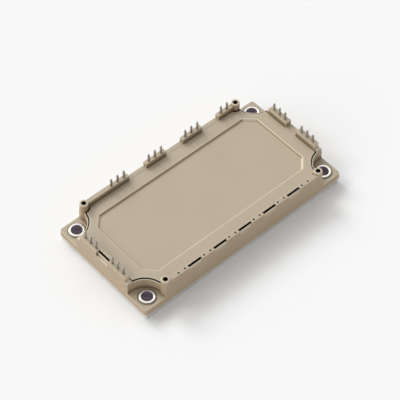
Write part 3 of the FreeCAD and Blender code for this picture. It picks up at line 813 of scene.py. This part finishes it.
class POWERMODULE_OT_solder_pins(bpy.types.Operator):
    """Make the three rows of stamped and tinned pins"""

    bl_idname = "power_module.solder_pins"
    bl_label = "Solder Pins"

    def execute(self, context):
        settings = context.scene.power_module_metal
        tree = pin_tree()
        finish = tinned_copper(settings)
        for row in ("pin_far", "pin_left", "pin_right"):
            nodes = numbered_nodes(row)
            shape = rounded_mesh(nodes[0], settings.pin_edge_radius, settings.pin_edge_steps)
            model = link_piece(row + "_model", shape)
            model.data.transform(Matrix.Translation(-box_middle(nodes[0])))
            carrier = link_piece(row + "_carrier", points_mesh(row + "_places", [box_middle(n) for n in nodes]))
            run_nodes(carrier, tree, {"Pin": model, "Finish": finish})
            weigh_normals(carrier)
            piece = settled(carrier, row + "_row")
            remove_object(model)
            place_piece(piece, nodes)
        return {"FINISHED"}


class POWERMODULE_OT_inner_parts(bpy.types.Operator):
    """Give the parts under the lid their finishes"""

    bl_idname = "power_module.inner_parts"
    bl_label = "Inner Parts"

    def execute(self, context):
        metals = context.scene.power_module_metal
        inner = context.scene.power_module_inner
        chip = metallised_silicon(inner)
        copper = etched_copper(metals)
        finishes = {
            "substrate_solder": cooled_solder(metals),
            "copper_back": copper,
            "ceramic": fired_alumina(inner),
            "copper_tracks": copper,
            "igbt_chip": chip,
            "diode_chip": chip,
        }
        for name, finish in finishes.items():
            for node in numbered_nodes(name):
                dress(frame["nodes"][node], finish)
        dress(frame["nodes"]["temperature_sensor"], capped_sensor(inner, metals))
        dress(frame["nodes"]["bond_wires"], drawn_aluminium(metals))
        dress(frame["nodes"]["silicone_gel"], soft_gel(inner))
        dress(frame["nodes"]["frame_adhesive"], cured_adhesive(inner))
        return {"FINISHED"}


def make_floor(settings):
    """A flat matte floor under the module."""
    half = settings.floor_size / 2
    mesh = bpy.data.meshes.new("floor")
    corners = [(-half, -half, 0), (half, -half, 0), (half, half, 0), (-half, half, 0)]
    mesh.from_pydata(corners, [], [(0, 1, 2, 3)])
    floor = link_piece("floor", mesh)
    dress(floor, matte_board(settings))


def direction(azimuth, elevation):
    """The unit vector towards a place in the sky, with the azimuth counted from +X towards +Y."""
    flat = math.cos(elevation)
    return Vector((flat * math.cos(azimuth), flat * math.sin(azimuth), math.sin(elevation)))


def make_light(settings, name):
    """A far, broad and soft light with the settings of that name."""
    lamp = bpy.data.lights.new(name, "SUN")
    lamp.energy = getattr(settings, name + "_strength")
    lamp.angle = getattr(settings, name + "_spread")
    towards = direction(getattr(settings, name + "_azimuth"), getattr(settings, name + "_elevation"))
    light = bpy.data.objects.new(name, lamp)
    light.rotation_euler = towards.to_track_quat("Z", "Y").to_euler()
    bpy.context.scene.collection.objects.link(light)


def make_dome(settings):
    """An even white dome of light."""
    world = bpy.data.worlds.new("studio")
    world.use_nodes = True
    tree = world.node_tree
    tree.nodes.clear()
    white = (1.0, 1.0, 1.0, 1.0)
    glow = add(tree, "ShaderNodeBackground", {"Color": white, "Strength": settings.dome_strength})
    add(tree, "ShaderNodeOutputWorld", {"Surface": glow})
    bpy.context.scene.world = world


def make_camera(settings):
    """The camera at the photograph's viewing angle, looking down at the module's near left corner."""
    azimuth = settings.camera_azimuth
    back = direction(azimuth - math.pi / 2, settings.camera_elevation)
    right = Vector((math.cos(azimuth), math.sin(azimuth), 0))
    turn = Matrix.Rotation(settings.camera_roll, 3, back)
    right = turn @ right
    up = back.cross(right)
    place = back * settings.camera_distance + right * settings.camera_right + up * settings.camera_up
    data = bpy.data.cameras.new("camera")
    data.lens = settings.camera_lens
    data.sensor_width = 36
    data.clip_start = 0.01
    data.clip_end = 100
    camera = bpy.data.objects.new("camera", data)
    camera.matrix_world = Matrix.Translation(place) @ Matrix((right, up, back)).transposed().to_4x4()
    bpy.context.scene.collection.objects.link(camera)
    bpy.context.scene.camera = camera


class POWERMODULE_OT_stage(bpy.types.Operator):
    """Make the floor, the light and the camera"""

    bl_idname = "power_module.stage"
    bl_label = "Stage"

    def execute(self, context):
        settings = context.scene.power_module_stage
        make_floor(settings)
        for name in ("back", "left", "side", "box"):
            make_light(settings, name)
        make_dome(settings)
        make_camera(settings)
        context.scene.view_settings.view_transform = "Standard"
        return {"FINISHED"}


OPERATORS = (
    POWERMODULE_OT_frame_moulding,
    POWERMODULE_OT_lid_moulding,
    POWERMODULE_OT_base_plate,
    POWERMODULE_OT_screw_bushes,
    POWERMODULE_OT_solder_pins,
    POWERMODULE_OT_inner_parts,
    POWERMODULE_OT_stage,
)


class POWERMODULE_PT_panel(bpy.types.Panel):
    """Lists the steps and their settings"""

    bl_idname = "POWERMODULE_PT_panel"
    bl_label = "Power Module"
    bl_space_type = "VIEW_3D"
    bl_region_type = "UI"
    bl_category = "Power Module"

    def draw(self, context):
        for operator in OPERATORS:
            self.layout.operator(operator.bl_idname)
        for name in SETTINGS:
            group = getattr(context.scene, name)
            box = self.layout.box()
            for setting in group.bl_rna.properties.keys():
                if setting not in ("rna_type", "name"):
                    box.prop(group, setting)


SETTINGS = {
    "power_module_moulding": MouldingSettings,
    "power_module_metal": MetalSettings,
    "power_module_inner": InnerSettings,
    "power_module_stage": StageSettings,
}
CLASSES = tuple(SETTINGS.values()) + OPERATORS + (POWERMODULE_PT_panel,)


def register():
    """Registers the classes and gives the scene its settings."""
    for item in CLASSES:
        bpy.utils.register_class(item)
    for name, group in SETTINGS.items():
        setattr(bpy.types.Scene, name, PointerProperty(type=group))


def unregister():
    """Takes the settings and the classes away again."""
    for name in SETTINGS:
        delattr(bpy.types.Scene, name)
    for item in reversed(CLASSES):
        bpy.utils.unregister_class(item)


def main():
    """Makes every piece in order."""
    register()
    bpy.ops.power_module.frame_moulding()
    bpy.ops.power_module.lid_moulding()
    bpy.ops.power_module.base_plate()
    bpy.ops.power_module.screw_bushes()
    bpy.ops.power_module.solder_pins()
    bpy.ops.power_module.inner_parts()
    bpy.ops.power_module.stage()


if __name__ == "__main__":
    main()
